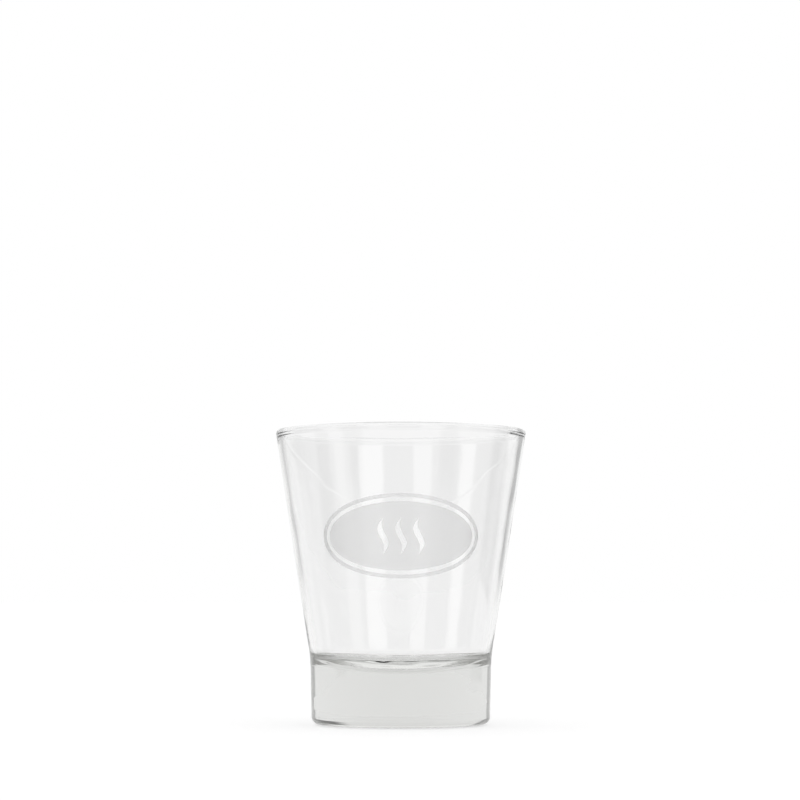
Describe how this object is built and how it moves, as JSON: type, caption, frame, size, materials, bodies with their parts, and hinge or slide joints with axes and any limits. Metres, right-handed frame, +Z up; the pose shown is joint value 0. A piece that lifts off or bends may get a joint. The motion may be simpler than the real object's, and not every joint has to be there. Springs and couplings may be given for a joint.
{
  "type": "espresso glass",
  "caption": "Small clear drinking glass with a flared conical bowl on a thick solid foot, and a satin oval print on its front, for espresso.",
  "frame": {"origin": "on the glass's axis, at the level of the ring that it stands on", "axes": "+Z up along the glass's axis towards the lip, -Y out of the middle of the print"},
  "size_m": [0.061, 0.061, 0.0713],
  "materials": {
    "clear_glass": "fire-polished clear pressed glass",
    "satin_enamel": "satin fired-on enamel, frosted"
  },
  "bodies": {
    "root": {"glass_tumbler": "clear_glass", "print_field": "satin_enamel", "print_border": "satin_enamel"}
  },
  "joints": []
}
